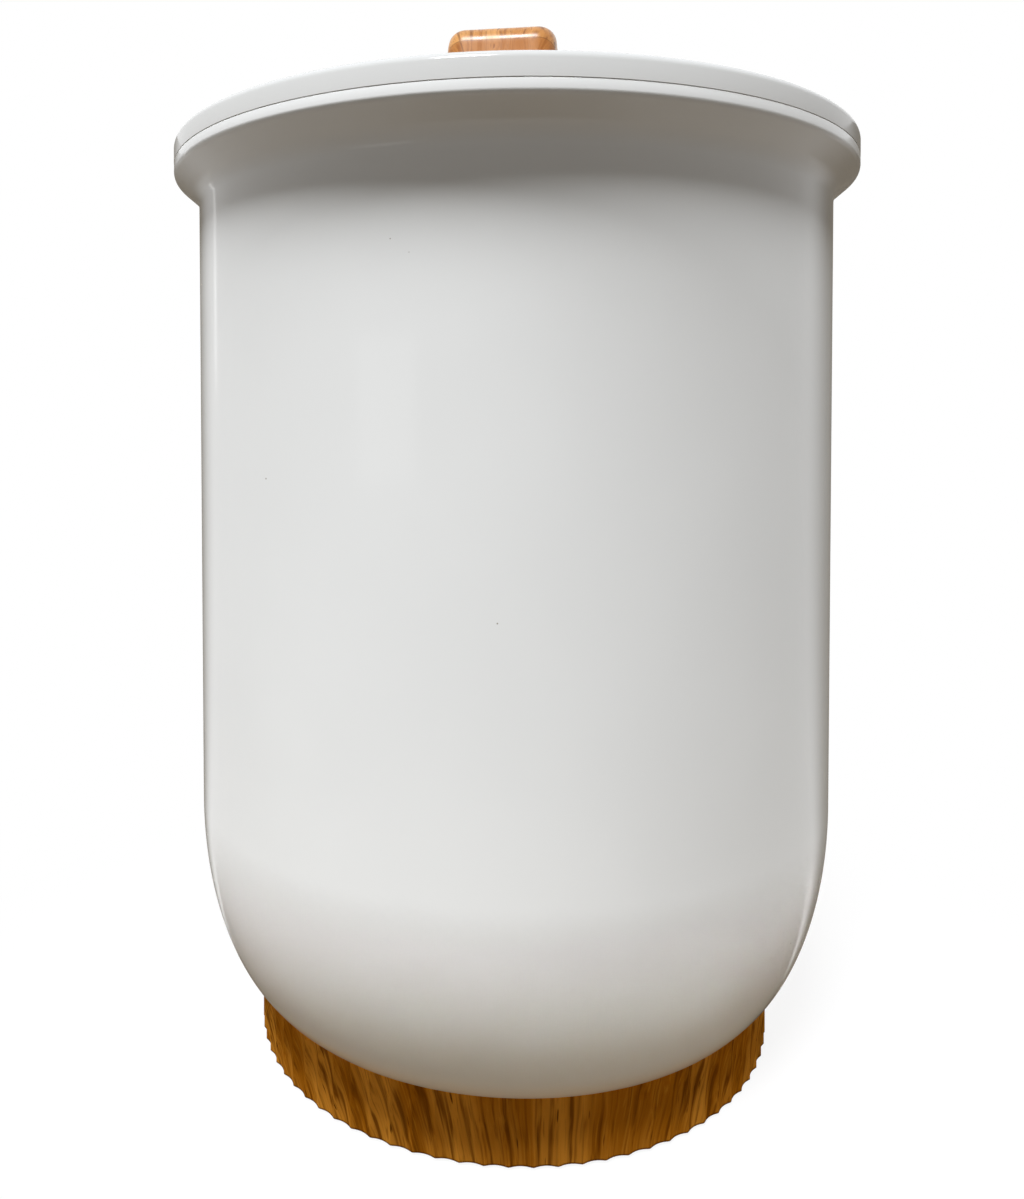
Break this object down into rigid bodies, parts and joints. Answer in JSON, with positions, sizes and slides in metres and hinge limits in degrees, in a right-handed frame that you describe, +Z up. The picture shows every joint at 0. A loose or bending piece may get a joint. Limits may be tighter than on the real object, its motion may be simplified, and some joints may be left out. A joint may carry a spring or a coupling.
{
  "type": "towel warmer bucket",
  "caption": "Bowl-bottomed towel warmer bucket on a fluted wood-grain base ring, with a flared rim and a lift-off crowned lid with a bridge handle.",
  "frame": {"origin": "centre of the base at floor level, under the rubber feet, on the bucket's axis", "axes": "+Z up along the bucket's axis, -Y towards the plain front, +Y towards the control panel and the cord inlet"},
  "size_m": [0.32, 0.32, 0.4571],
  "materials": {
    "white_shell": "high-gloss moulded white",
    "wood_grain": "satin wood-grain film over moulded plastic",
    "dark_plastic": "fine matt moulded black",
    "light_plastic": "matt moulded off-white",
    "panel_plastic": "satin moulded pale grey",
    "button_plastic": "satin moulded grey",
    "lens_plastic": "clear frosted light pipe",
    "rubber": "matt black rubber",
    "silicone": "translucent pale silicone",
    "aluminium": "satin drawn aluminium",
    "foil": "crinkled foil",
    "felt": "needled felt",
    "foam": "expanded foam",
    "steel": "zinc-plated steel",
    "circuit_board": "green solder mask"
  },
  "bodies": {
    "bucket": {"outer_shell": "white_shell", "top_collar": "white_shell", "base_ring": "wood_grain", "base_plate": "dark_plastic", "relay": "dark_plastic", "power_module": "dark_plastic", "capacitor": "dark_plastic", "terminal_block": "light_plastic", "tact_switch": "dark_plastic", "rubber_feet": "rubber", "cord_bushing": "rubber", "inner_bucket": "aluminium", "bottom_heater_plate": "aluminium", "heater_foil": "foil", "insulation_felt": "felt", "bottom_heating_element": "steel", "element_straps": "steel", "fuse_clip": "steel", "thermostat": "steel", "heater_screws": "steel", "bucket_standoffs": "steel", "standoff_screws": "steel", "heat_shield": "steel", "board_screws": "steel", "base_screws": "steel", "panel_screws": "steel", "thermal_fuse": "light_plastic", "control_board": "circuit_board", "button_board": "circuit_board", "control_panel": "panel_plastic", "timer_lenses": "lens_plastic", "indicator_leds": "lens_plastic"},
    "lid": {"lid_shell": "white_shell", "lid_handle": "wood_grain", "handle_screws": "steel", "handle_washers": "steel", "lid_liner": "white_shell", "lid_foam": "foam", "lid_seal": "silicone"},
    "fragrance_holder": {"fragrance_cover": "light_plastic", "fragrance_pad": "felt"},
    "button": {"power_button": "button_plastic"}
  },
  "joints": [
    {"name": "lid_lift", "type": "slide", "parent": "bucket", "child": "lid", "axis": [0, 0, 1], "range_m": [0, 0.16]},
    {"name": "fragrance_twist", "type": "hinge", "parent": "lid", "child": "fragrance_holder", "pos_m": [0, 0, 0.39], "axis": [0, 0, -1], "range_deg": [0, 45]},
    {"name": "button_press", "type": "slide", "parent": "bucket", "child": "button", "axis": [0, -1, 0], "range_m": [0, 0.0008], "stiffness_N_per_m": 1200, "springref_m": -0.0005}
  ]
}
